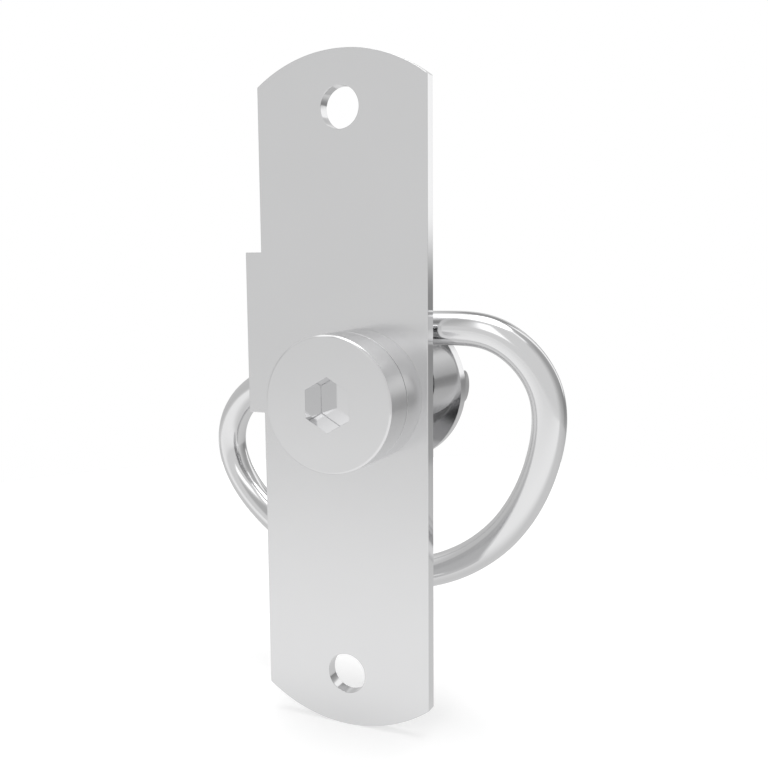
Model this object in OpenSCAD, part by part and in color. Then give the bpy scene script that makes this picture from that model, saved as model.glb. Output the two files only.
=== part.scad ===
// Turn latch with a bent-rod bow handle on a flat fixing plate.
// X runs right across the plate, Z runs up it, and Y runs away from its front face.
// The origin is the middle of the plate's front face.

/* [Plate] */
// Width of the plate
plate_w = 40; // [36:0.5:48]
// Height of the plate over its rounded ends
plate_h = 148.5; // [140:0.5:170]
// Thickness of the plate
plate_t = 3; // [2:0.1:4]
// Radius of the arc that ends the plate
plate_end_r = 33.2; // [26:0.2:60]
// Diameter of each fixing hole
fixing_hole_d = 9; // [5:0.1:10]
// Distance between the two fixing holes
fixing_spacing = 124.5; // [116:0.5:126]
// How far the stop tab stands out of the left edge
tab_w = 4; // [2:0.1:6]
// Height of the stop tab
tab_h = 36; // [20:0.5:60]
// Height of the tab's lower end above the middle of the plate
tab_low = -3.9; // [-12:0.1:6]

/* [Spindle] */
// How far the spindle lies to the right of the plate's middle
spindle_x = 4.25; // [-2:0.05:5]
// How far the spindle lies above the plate's middle
spindle_z = 1.35; // [-5:0.05:5]
// Diameter of the spindle
spindle_d = 14; // [13:0.1:15]
// Distance across the two flats that drive the hub and the flange
spindle_flats = 12; // [10.5:0.1:12.6]

/* [Bearing] */
// Diameter of the spacer disc on the front of the plate, and of the head
drum_d = 28.6; // [26:0.1:34]
// Thickness of the spacer disc
spacer_t = 7.5; // [5:0.1:12]
// Wall of the bearing bush
bush_wall = 2; // [1.5:0.1:2.5]
// Thickness of the bush's thrust collar behind the plate
collar_t = 0.9; // [0.6:0.1:1]
// How far the thrust collar reaches past the bush
collar_reach = 2.5; // [1:0.1:3]
// Thickness of the glide washer behind the head
washer_t = 0.5; // [0.3:0.05:1]
// Width of the glide washer's ring
washer_ring = 4; // [2:0.1:4.5]

/* [Head] */
// Thickness of the head
head_t = 7.9; // [7.5:0.1:12]
// Size of the hexagon socket across its flats
hex_af = 10; // [6:0.5:12]
// Depth of the hexagon socket
hex_depth = 7; // [4:0.1:7.2]
// Bevel on the edges of the head and the spacer
edge_bevel = 0.4; // [0.1:0.05:1]
// Diameter of the head's shank
shank_d = 8; // [6:0.1:9]
// Length of the head's shank
shank_l = 14; // [8:0.5:18]
// Bevel on the shank's tip, and spare depth of its bore
shank_bevel = 1; // [0.5:0.1:2]

/* [Hub] */
// Length of the hub between the bush and the flange
hub_l = 11.65; // [10:0.05:16]
// Diameter of the hub's collar round the spindle
hub_collar_d = 20; // [18:0.2:22]
// How far the eccentric boss lies to the right of the spindle
boss_x = 8; // [6:0.1:8.8]
// How far the eccentric boss lies above the spindle
boss_z = 2.6; // [0:0.1:4]
// Diameter of the boss where it meets the flange
boss_d = 17.4; // [14:0.1:18.4]
// How much narrower the boss is at its free end
boss_draft = 2.2; // [0.4:0.1:3]
// Diameter of the round flange
flange_d = 34.5; // [33:0.1:40]
// Thickness of the flange
flange_t = 3; // [2:0.1:5]

/* [Bow] */
// Size of the bow, about half its width
bow_size = 50; // [46:1:60]
// Diameter of the rod that the bow is bent from
rod_d = 7.4; // [6:0.1:8]
// Bevel on the ends of the rod
rod_end_bevel = 0.4; // [0.1:0.1:1]
// Gap between the plate and the front leg of the bow
leg_gap = 1.2; // [1:0.1:2.5]
// Height of the front leg above the spindle
front_leg_rise = 14.15; // [13.4:0.05:16]
// How far the front leg ends to the left of the spindle
front_leg_end = 2.3; // [0:0.1:5]
// How far the back leg ends to the right of the spindle
back_leg_end = 15.55; // [12:0.05:16]
// Depth that the back leg sinks into its seat in the flange
leg_seat = 0.35; // [0.1:0.05:1]
// Length of the back leg's weld on each side
back_weld_l = 18; // [10:1:20]
// Length of the saddle that carries the front leg
saddle_l = 10; // [6:0.5:14]
// Length of the front leg's weld
front_weld_l = 8; // [4:0.5:10]
// How far the back leg's welds stop short of the rod's end
weld_inset = 4; // [2:0.5:6]
// Radius of the weld beads
weld_r = 1.6; // [0.8:0.1:2]

/* [Fits] */
// Running clearance round the spindle
running_gap = 0.05; // [0.02:0.01:0.1]
// Axial play of the turning parts
axial_play = 0.1; // [0.05:0.01:0.2]
// Gap between the rod and the saddle and weld at its front leg
leg_fit = 0.05; // [0.02:0.01:0.15]

/* [Hidden] */
$fn = 96;
tiny = 0.01;

// Places along Y, counted from the plate's front face
spacer_front = -spacer_t;
head_back = spacer_front - axial_play;
head_front = head_back - head_t;
collar_back = plate_t + collar_t;
hub_front = collar_back + axial_play;
flange_front = hub_front + hub_l;
flange_back = flange_front + flange_t;
spindle_end = flange_back - leg_seat;
front_leg_y = plate_t + leg_gap + rod_d / 2;
back_leg_y = flange_back - leg_seat + rod_d / 2;

// Saddle of the front leg, a third of the rod deep
front_leg_z = spindle_z + front_leg_rise;
saddle_top = front_leg_z - rod_d / 6;
saddle_middle = spindle_x + boss_x / 2;

// Sizes that follow from the fits
bush_inner_r = spindle_d / 2 + running_gap;
bush_outer_r = bush_inner_r + bush_wall;
washer_inner_r = spindle_d / 2 + 2 * running_gap;
washer_recess = washer_t - axial_play + running_gap;
shank_tip = head_back + shank_l;
bore_tip = shank_tip + shank_bevel;

// The rod is drawn as a cubic B-spline. Each guide is given from the spindle's axis as
// [X, share of the way from the front leg's depth to the back leg's, Z], with X and Z in
// hundredths of the bow's size.
bow_guides = [
    [-58, 1.25, 1],
    [-93, 1.7, -7],
    [-116, 2, -29],
    [-115, 2.05, -56],
    [-86, 1.8, -82],
    [-38, 1.4, -98],
    [13, 1, -94],
    [55, 0.65, -68],
    [76, 0.3, -30],
    [80, 0.2, 5],
    [58, 0.1, 28],
    [37, 0.05, 29],
];
back_leg_step = 0.24 * bow_size;
front_leg_step = 0.12 * bow_size;
rod_sides = 32;
rings_per_span = 6;

function place(guide) = [
    spindle_x + guide[0],
    front_leg_y + guide[1] * (back_leg_y - front_leg_y),
    spindle_z + guide[2],
];

back_leg_guides = [
    for (k = [1, 0, -1]) [back_leg_end + k * back_leg_step, 1, 0],
    [-back_leg_step, 1, 0],
];
front_leg_guides = [
    for (k = [2, 1, 0, -1]) [k * front_leg_step - front_leg_end, 0, front_leg_rise],
];
free_guides = [for (g = bow_guides) [g[0] * bow_size / 100, g[1], g[2] * bow_size / 100]];
guides = [for (g = concat(back_leg_guides, free_guides, front_leg_guides)) place(g)];

// Point and direction on one span of a uniform cubic B-spline
function spline_point(p, i, u) = (
    pow(1 - u, 3) * p[i]
    + (3 * pow(u, 3) - 6 * u * u + 4) * p[i + 1]
    + (-3 * pow(u, 3) + 3 * u * u + 3 * u + 1) * p[i + 2]
    + pow(u, 3) * p[i + 3]
) / 6;
function spline_slope(p, i, u) = (
    -pow(1 - u, 2) * p[i]
    + (3 * u * u - 4 * u) * p[i + 1]
    + (-3 * u * u + 2 * u + 1) * p[i + 2]
    + u * u * p[i + 3]
) / 2;
function unit(v) = v / norm(v);

// Centres and directions of the rod's rings, and the points of one ring
function stations(p) = [
    for (i = [0:len(p) - 4], k = [0:rings_per_span - 1])
        [spline_point(p, i, k / rings_per_span), unit(spline_slope(p, i, k / rings_per_span))],
    [spline_point(p, len(p) - 4, 1), unit(spline_slope(p, len(p) - 4, 1))],
];
function ring(centre, along, radius) =
    let (across = unit(cross(along, [0, 1, 0])), up = cross(across, along))
    [for (k = [0:rod_sides - 1])
        let (a = 360 * k / rod_sides)
        centre + radius * (cos(a) * across + sin(a) * up)];

// Module for turned parts: the profile holds [radius, Y] points
module turned(profile) {
    translate([spindle_x, 0, spindle_z])
        rotate([-90, 0, 0])
        rotate_extrude()
        polygon(profile);
}

// Module for parts cut from flat stock: the outline holds X and Z
module slab(front, thickness) {
    translate([0, front + thickness, 0])
        rotate([90, 0, 0])
        linear_extrude(thickness)
        children();
}

// Straight round bar along X, centred on a point
module bar(centre, diameter, length) {
    translate(centre)
        rotate([0, 90, 0])
        cylinder(d = diameter, h = length, center = true);
}

// Spaces that the two legs of the rod take
module back_leg_path() {
    bar([spindle_x, back_leg_y, spindle_z], rod_d, 2 * flange_d);
}
module front_leg_path() {
    bar([spindle_x, front_leg_y, front_leg_z], rod_d + 2 * leg_fit, 2 * flange_d);
}

// Round hole or shaft along Y, centred on the spindle
module along_spindle(from, to, diameter) {
    translate([spindle_x, from, spindle_z])
        rotate([-90, 0, 0])
        cylinder(d = diameter, h = to - from);
}

// Section of the hole that takes the spindle's two flats
module driven_section() {
    translate([spindle_x, spindle_z])
        intersection() {
            circle(d = spindle_d);
            square([spindle_d, spindle_flats], center = true);
        }
}

module plate_outline() {
    shoulder = plate_h / 2 - plate_end_r + sqrt(pow(plate_end_r, 2) - pow(plate_w / 2, 2));
    square([plate_w, 2 * shoulder], center = true);
    for (side = [-1, 1])
        intersection() {
            translate([0, side * (plate_h / 2 - plate_end_r)]) circle(r = plate_end_r);
            translate([0, side * plate_h / 4]) square([plate_w, plate_h / 2], center = true);
        }
    translate([-plate_w / 2 - tab_w, tab_low]) square([tab_w + tiny, tab_h]);
}

module plate() {
    color("gainsboro")
        slab(0, plate_t)
        difference() {
            plate_outline();
            for (side = [-1, 1])
                translate([0, side * fixing_spacing / 2]) circle(d = fixing_hole_d);
            translate([spindle_x, spindle_z]) circle(r = bush_outer_r);
        }
}

module spacer_disc() {
    r = drum_d / 2;
    color("gainsboro")
        turned([
            [bush_outer_r, spacer_front],
            [r - edge_bevel, spacer_front],
            [r, spacer_front + edge_bevel],
            [r, 0],
            [bush_outer_r, 0],
        ]);
}

module bearing_bush() {
    color("gray")
        turned([
            [bush_inner_r, spacer_front],
            [bush_outer_r, spacer_front],
            [bush_outer_r, plate_t],
            [bush_outer_r + collar_reach, plate_t],
            [bush_outer_r + collar_reach, collar_back],
            [bush_inner_r, collar_back],
        ]);
}

module glide_washer() {
    color("dimgray")
        turned([
            [washer_inner_r, spacer_front - washer_t],
            [washer_inner_r + washer_ring, spacer_front - washer_t],
            [washer_inner_r + washer_ring, spacer_front],
            [washer_inner_r, spacer_front],
        ]);
}

module socket_head() {
    r = drum_d / 2;
    washer_outer_r = washer_inner_r + washer_ring + running_gap;
    color("silver")
        difference() {
            turned([
                [0, head_front],
                [r - edge_bevel, head_front],
                [r, head_front + edge_bevel],
                [r, head_back - edge_bevel],
                [r - edge_bevel, head_back],
                [washer_outer_r, head_back],
                [washer_outer_r, head_back - washer_recess],
                [spindle_d / 2, head_back - washer_recess],
                [spindle_d / 2, head_back],
                [shank_d / 2, head_back],
                [shank_d / 2, shank_tip - shank_bevel],
                [shank_d / 2 - shank_bevel, shank_tip],
                [0, shank_tip],
            ]);
            translate([spindle_x, head_front - tiny, spindle_z])
                rotate([-90, 30, 0])
                cylinder(d = hex_af / cos(30), h = hex_depth + tiny, $fn = 6);
        }
}

module spindle() {
    color("silver")
        difference() {
            along_spindle(head_back, spindle_end, spindle_d);
            for (side = [-1, 1])
                translate([
                    spindle_x - spindle_d / 2,
                    hub_front,
                    spindle_z + side * (spindle_flats + spindle_d) / 2 - spindle_d / 2,
                ])
                    cube([spindle_d, spindle_end, spindle_d]);
            along_spindle(head_back - tiny, bore_tip, shank_d);
        }
}

// Tangent web between the hub's collar and its eccentric boss
module hub_web() {
    collar_r = hub_collar_d / 2;
    boss_r = (boss_d - boss_draft) / 2;
    distance = norm([boss_x, boss_z]);
    lean = acos((collar_r - boss_r) / distance);
    rotate(atan2(boss_z, boss_x))
        polygon([
            collar_r * [cos(lean), sin(lean)],
            [distance, 0] + boss_r * [cos(lean), sin(lean)],
            [distance, 0] + boss_r * [cos(lean), -sin(lean)],
            collar_r * [cos(lean), -sin(lean)],
        ]);
}

// Block that carries the front leg, up to the groove for the rod
module hub_saddle() {
    translate([saddle_middle - saddle_l / 2, hub_front, spindle_z])
        cube([saddle_l, hub_l, saddle_top - spindle_z]);
}

module hub() {
    color("lightsteelblue")
        difference() {
            union() {
                slab(hub_front, hub_l)
                    translate([spindle_x, spindle_z]) {
                        circle(d = hub_collar_d);
                        hub_web();
                    }
                translate([spindle_x + boss_x, hub_front, spindle_z + boss_z])
                    rotate([-90, 0, 0])
                    cylinder(d1 = boss_d - boss_draft, d2 = boss_d, h = hub_l);
                hub_saddle();
            }
            slab(hub_front - tiny, hub_l + 2 * tiny) driven_section();
            front_leg_path();
        }
}

module flange() {
    color("lightsteelblue")
        difference() {
            along_spindle(flange_front, flange_back, flange_d);
            slab(flange_front - tiny, flange_t + 2 * tiny) driven_section();
            back_leg_path();
        }
}

module bow() {
    line = stations(guides);
    last = len(line) - 1;
    rings = concat(
        [ring(line[0][0], line[0][1], rod_d / 2 - rod_end_bevel)],
        [ring(line[0][0] + rod_end_bevel * line[0][1], line[0][1], rod_d / 2)],
        [for (i = [1:last - 1]) ring(line[i][0], line[i][1], rod_d / 2)],
        [ring(line[last][0] - rod_end_bevel * line[last][1], line[last][1], rod_d / 2)],
        [ring(line[last][0], line[last][1], rod_d / 2 - rod_end_bevel)]
    );
    count = len(rings);
    sides = [for (i = [0:count - 2], k = [0:rod_sides - 1])
        let (a = i * rod_sides, b = a + rod_sides, next = (k + 1) % rod_sides)
        [a + k, a + next, b + next, b + k]];
    first_cap = [for (k = [rod_sides - 1:-1:0]) k];
    last_cap = [for (k = [0:rod_sides - 1]) (count - 1) * rod_sides + k];
    color("whitesmoke")
        polyhedron(
            points = [for (r = rings, point = r) point],
            faces = concat([first_cap], sides, [last_cap])
        );
}

module back_leg_welds() {
    weld_middle = spindle_x + back_leg_end - weld_inset - back_weld_l / 2;
    color("darkgray")
        difference() {
            for (side = [-1, 1])
                bar([weld_middle, flange_back, spindle_z + side * (rod_d - weld_r / 2) / 2], 2 * weld_r, back_weld_l);
            back_leg_path();
            along_spindle(flange_front, flange_back, 2 * flange_d);
        }
}

module front_leg_weld() {
    color("darkgray")
        difference() {
            bar([saddle_middle, front_leg_y + rod_d / 2, saddle_top], 2 * weld_r, front_weld_l);
            front_leg_path();
            hub_saddle();
        }
}

plate();
spacer_disc();
bearing_bush();
glide_washer();
socket_head();
spindle();
hub();
flange();
bow();
back_leg_welds();
front_leg_weld();
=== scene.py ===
"""Looks of a turn latch: detailed pieces, finishes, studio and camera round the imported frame.

Lengths are metres in the frame's axes: X runs right across the plate, Y away from its front
face and Z up. Each piece stands for one solid of the frame and keeps that solid's form.
"""

import logging
import math
from contextlib import contextmanager
from dataclasses import dataclass, field
from enum import Enum
from typing import Callable, Iterator, Sequence

import bpy
from mathutils import Matrix, Vector


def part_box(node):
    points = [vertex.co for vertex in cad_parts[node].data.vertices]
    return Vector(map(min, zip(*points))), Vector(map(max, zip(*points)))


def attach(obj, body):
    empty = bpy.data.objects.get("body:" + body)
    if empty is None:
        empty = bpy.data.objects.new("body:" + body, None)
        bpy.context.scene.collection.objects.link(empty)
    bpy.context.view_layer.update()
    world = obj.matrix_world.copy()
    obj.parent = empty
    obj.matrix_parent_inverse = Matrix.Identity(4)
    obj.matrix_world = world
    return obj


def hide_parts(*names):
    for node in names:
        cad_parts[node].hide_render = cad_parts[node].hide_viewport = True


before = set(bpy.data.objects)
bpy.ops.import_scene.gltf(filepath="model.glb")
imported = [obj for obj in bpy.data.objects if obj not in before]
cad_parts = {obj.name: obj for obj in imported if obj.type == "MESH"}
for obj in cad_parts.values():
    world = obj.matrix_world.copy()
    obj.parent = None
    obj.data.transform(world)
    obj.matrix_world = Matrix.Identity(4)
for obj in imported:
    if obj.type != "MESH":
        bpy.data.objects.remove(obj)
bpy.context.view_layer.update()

LOG = logging.getLogger("turn_latch")
MM = 0.001
PLATE_BODY = "plate_body"
HANDLE_BODY = "handle_body"
ROUND_SIDES = 192
ARC_SIDES = 360
DRILL_SIDES = 128
ROD_SIDES = 96
BEAD_SIDES = 56
FLOOR_SIDES = 128
BEVEL_STEPS = 3
MERGE_GAP = MM / 1000
NEAR = MM / 100
LEG_REACH = 40 * MM
# Sizes that two assemblies share: the bush's hole, and the front leg above the spindle.
BUSH_RADIUS = 9.05 * MM
LEG_RISE = 14.15 * MM
# Cosine past which a face counts as facing along an axis.
FACING = 0.9
# Values that most of a noise texture lies between, and those of a strong cloud in it.
NOISE_RANGE = (0.3, 0.7)
HEAT_RANGE = (0.35, 0.75)
# Noise features per metre: soft clouds, traces of handling, heat beside a weld.
CLOUD_SCALE, HANDLING_SCALE, HEAT_SCALE = 55, 420, 700
HEAT_COLOR = (0.55, 0.43, 0.27, 1.0)

Pair = tuple[float, float]
Point = tuple[float, float, float]
Color = tuple[float, float, float]
Piece = bpy.types.Object
Socket = bpy.types.NodeSocket
Test = Callable[[Vector, Vector], bool]


class MeshPart(Enum):
    """Kinds of mesh element that an operator works on."""

    VERTEX = "VERT"
    FACE = "FACE"


class Joining(Enum):
    """What a tool does to the piece that it meets."""

    CUT = "DIFFERENCE"
    ADD = "UNION"


class Working(Enum):
    """How a steel surface was worked, which sets the run of its fine marks."""

    ROLLED = "rolled along the plate"
    TURNED = "turned about the spindle"
    DRAWN = "drawn and polished"
    WELDED = "left as welded"


# How far the marks of each working are drawn out along X, Y and Z.
MARK_RUN = {
    Working.ROLLED: (1.0, 1.0, 0.03),
    Working.DRAWN: (0.35, 0.35, 0.35),
    Working.WELDED: (1.0, 1.0, 1.0),
}


def deselect_all() -> None:
    """Leaves edit mode and clears the selection, because operators act on all of it."""
    if bpy.context.object and bpy.context.object.mode != "OBJECT":
        bpy.ops.object.mode_set(mode="OBJECT")
    bpy.ops.object.select_all(action="DESELECT")


def make_active(piece: Piece) -> None:
    """Makes a piece the only selected and the active object.

    Args:
        piece: The object.
    """
    deselect_all()
    piece.select_set(True)
    bpy.context.view_layer.objects.active = piece


@contextmanager
def editing(piece: Piece, part: MeshPart = MeshPart.FACE) -> Iterator[None]:
    """Holds a piece in edit mode while its operators run.

    Args:
        piece: The object to edit.
        part: The kind of element that is picked.

    Yields:
        Nothing, once the piece is in edit mode.
    """
    make_active(piece)
    bpy.ops.object.mode_set(mode="EDIT")
    bpy.ops.mesh.select_mode(type=part.value)
    yield
    bpy.ops.object.mode_set(mode="OBJECT")


def pick(piece: Piece, wanted: Test, part: MeshPart = MeshPart.FACE) -> int:
    """Selects the elements of a mesh that pass a test of place and normal.

    Args:
        piece: The object, in object mode.
        wanted: Test of an element's middle and its normal.
        part: The kind of element to pick.

    Returns:
        How many elements were picked.
    """
    mesh = piece.data
    for group in (mesh.vertices, mesh.edges, mesh.polygons):
        group.foreach_set("select", [False] * len(group))
    if part is MeshPart.VERTEX:
        places = [(vertex, vertex.co) for vertex in mesh.vertices]
    else:
        places = [(face, face.center) for face in mesh.polygons]
    for element, place in places:
        element.select = wanted(place, element.normal)
    return sum(element.select for element, place in places)


def extrude(step: Point) -> None:
    """Extrudes the selection by a step, in edit mode."""
    bpy.ops.mesh.extrude_region_move(TRANSFORM_OT_translate={"value": step})


def clean_mesh() -> None:
    """Merges doubled points and turns all normals outwards, in edit mode."""
    bpy.ops.mesh.select_all(action="SELECT")
    bpy.ops.mesh.remove_doubles(threshold=MERGE_GAP)
    bpy.ops.mesh.normals_make_consistent(inside=False)


def cut_away(piece: Piece, place: Point, out: Point) -> None:
    """Cuts off what lies beyond a plane and closes the cut.

    Args:
        piece: The solid.
        place: A point on the plane.
        out: Direction of what is cut off.
    """
    with editing(piece):
        bpy.ops.mesh.select_all(action="SELECT")
        bpy.ops.mesh.bisect(plane_co=place, plane_no=out, use_fill=True, clear_outer=True)


def smooth(piece: Piece, angle: float) -> None:
    """Shades a piece smooth, but for edges that turn by more degrees than the angle."""
    make_active(piece)
    bpy.ops.object.shade_smooth_by_angle(angle=math.radians(angle))


def join(first: Piece, second: Piece) -> None:
    """Makes one object part of another.

    Args:
        first: The object that stays.
        second: The one that becomes part of it.
    """
    make_active(first)
    second.select_set(True)
    bpy.ops.object.join()


def apply_modifier(piece: Piece, kind: str, **settings: object) -> None:
    """Adds one modifier and applies it.

    Args:
        piece: The object.
        kind: Blender's name of the modifier's type.
        settings: The modifier's properties.
    """
    make_active(piece)
    modifier = piece.modifiers.new(kind.lower(), kind)
    for setting, value in settings.items():
        setattr(modifier, setting, value)
    bpy.ops.object.modifier_apply(modifier=modifier.name)


def combine(piece: Piece, tool: Piece, joining: Joining = Joining.CUT) -> None:
    """Cuts a piece with a tool, or adds the tool to it, and deletes the tool."""
    apply_modifier(piece, "BOOLEAN", object=tool, operation=joining.value, solver="EXACT")
    bpy.data.objects.remove(tool)


def settle(piece: Piece) -> Piece:
    """Puts a new object's place, turn and scale into its mesh.

    Args:
        piece: The new object.

    Returns:
        The same object.
    """
    make_active(piece)
    bpy.ops.object.transform_apply(location=True, rotation=True, scale=True)
    return piece


def box_solid(name: str, low: Point, high: Point) -> Piece:
    """Adds a box between two corners.

    Args:
        name: The object's name.
        low: The lowest corner.
        high: The highest corner.

    Returns:
        The new object, with its place in its mesh.
    """
    deselect_all()
    middle = [(a + b) / 2 for a, b in zip(low, high)]
    bpy.ops.mesh.primitive_cube_add(size=1, location=middle)
    piece = bpy.context.object
    piece.name = name
    piece.scale = [b - a for a, b in zip(low, high)]
    return settle(piece)


def round_solid(
    name: str,
    start: Point,
    end: Point,
    radius: float,
    end_radius: float | None = None,
    sides: int = ROUND_SIDES,
) -> Piece:
    """Adds a cylinder or a cone between two points.

    Args:
        name: The object's name.
        start: The middle of its first end.
        end: The middle of its other end.
        radius: Its radius at the first end.
        end_radius: Its radius at the other end, the same if left out.
        sides: How many sides it has.

    Returns:
        The new object, with its place in its mesh.
    """
    deselect_all()
    along = Vector(end) - Vector(start)
    bpy.ops.mesh.primitive_cone_add(
        vertices=sides,
        radius1=radius,
        radius2=radius if end_radius is None else end_radius,
        depth=along.length,
        location=(Vector(start) + Vector(end)) / 2,
        rotation=along.to_track_quat("Z", "Y").to_euler(),
    )
    bpy.context.object.name = name
    return settle(bpy.context.object)


def turned_solid(
    name: str, profile: Sequence[Pair], axis: Point, sides: int = ROUND_SIDES
) -> Piece:
    """Spins a profile about a line along Y, as a lathe would leave it.

    Args:
        name: The object's name.
        profile: Points of radius and Y, in order round the section.
        axis: A point on the line.
        sides: How many steps the spin has.

    Returns:
        The new closed solid.
    """
    deselect_all()
    radius, y = profile[0]
    bpy.ops.mesh.primitive_plane_add(size=MM, location=(axis[0] + radius, y, axis[2]))
    piece = bpy.context.object
    piece.name = name
    settle(piece)
    with editing(piece, MeshPart.VERTEX):
        bpy.ops.mesh.merge(type="CENTER")
        for here, there in zip(profile, profile[1:]):
            extrude((there[0] - here[0], there[1] - here[1], 0))
        bpy.ops.mesh.select_all(action="SELECT")
        bpy.ops.mesh.spin(steps=sides, angle=math.tau, center=axis, axis=(0, 1, 0))
        clean_mesh()
    return piece


def break_edges(piece: Piece, width: float, angle: float = 35) -> None:
    """Rounds the sharp edges of a solid a little, as deburring does.

    Args:
        piece: The solid.
        width: Width of the rounding.
        angle: Edges that turn by more degrees than this are rounded.
    """
    apply_modifier(
        piece,
        "BEVEL",
        width=width,
        segments=BEVEL_STEPS,
        limit_method="ANGLE",
        angle_limit=math.radians(angle),
        miter_outer="MITER_ARC",
        use_clamp_overlap=True,
    )
    smooth(piece, angle)
    apply_modifier(piece, "WEIGHTED_NORMAL", keep_sharp=True)


def face_count(piece: Piece) -> int:
    """Counts the triangles of a piece."""
    return sum(len(face.vertices) - 2 for face in piece.data.polygons)


class NodeBench:
    """A node tree with short calls for the nodes that the finishes and the studio use."""

    def __init__(self, tree: bpy.types.NodeTree) -> None:
        """Starts an empty tree."""
        self.tree = tree
        tree.nodes.clear()

    def node(self, kind: str, inputs: dict | None = None, **settings: object) -> bpy.types.Node:
        """Adds one node.

        Args:
            kind: Blender's name of the node type, without its ShaderNode.
            inputs: Values or output sockets, by the input's name or number.
            settings: Properties of the node.

        Returns:
            The new node.
        """
        made = self.tree.nodes.new("ShaderNode" + kind)
        for setting, value in settings.items():
            setattr(made, setting, value)
        for socket, value in (inputs or {}).items():
            if isinstance(value, Socket):
                self.tree.links.new(value, made.inputs[socket])
            else:
                made.inputs[socket].default_value = value
        return made

    def math(self, operation: str, first: object, second: object = 0.0) -> Socket:
        """Adds a math node and returns its output."""
        made = self.node("Math", {0: first, 1: second}, operation=operation)
        return made.outputs[0]

    def dot(self, first: object, second: object) -> Socket:
        """Adds a dot product and returns its output."""
        made = self.node("VectorMath", {0: first, 1: second}, operation="DOT_PRODUCT")
        return made.outputs["Value"]

    def rescale(self, value: object, source: Pair, target: Pair, smooth: bool = False) -> Socket:
        """Maps one range to another and returns the output.

        Args:
            value: The socket to map.
            source: Its range.
            target: The range that it becomes.
            smooth: Whether the step eases in and out.

        Returns:
            The mapped socket.
        """
        made = self.node(
            "MapRange",
            {0: value, 1: source[0], 2: source[1], 3: target[0], 4: target[1]},
            interpolation_type="SMOOTHSTEP" if smooth else "LINEAR",
        )
        return made.outputs[0]

    def mix_color(self, share: object, first: object, second: object) -> Socket:
        """Mixes two colours and returns the output."""
        made = self.node("Mix", {0: share, 6: first, 7: second}, data_type="RGBA")
        return made.outputs[2]

    def place(self) -> Socket:
        """Adds the point on the piece, in the frame's metres, and returns it."""
        return self.node("TexCoord").outputs["Object"]

    def surface(self, shader: bpy.types.Node) -> None:
        """Ends a material's tree with its surface."""
        self.node("OutputMaterial", {"Surface": shader.outputs[0]})

    def noise(self, where: object, scale: float, detail: float, rough: float = 0.55) -> Socket:
        """Adds a noise texture and returns its value."""
        inputs = {"Vector": where, "Scale": scale, "Detail": detail, "Roughness": rough}
        return self.node("TexNoise", inputs).outputs[0]


def shade(color: Color, factor: float = 1.0) -> tuple[float, float, float, float]:
    """Returns a colour made lighter or darker, with full alpha."""
    return (*(channel * factor for channel in color), 1.0)


def grey(tone: float) -> tuple[float, float, float, float]:
    """Returns a neutral colour with full alpha."""
    return (tone, tone, tone, 1.0)


def new_material(name: str) -> tuple[bpy.types.Material, NodeBench]:
    """Makes a node material.

    Args:
        name: The material's name.

    Returns:
        The material and the bench for its empty tree.
    """
    made = bpy.data.materials.new(name)
    made.use_nodes = True
    return made, NodeBench(made.node_tree)


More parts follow.
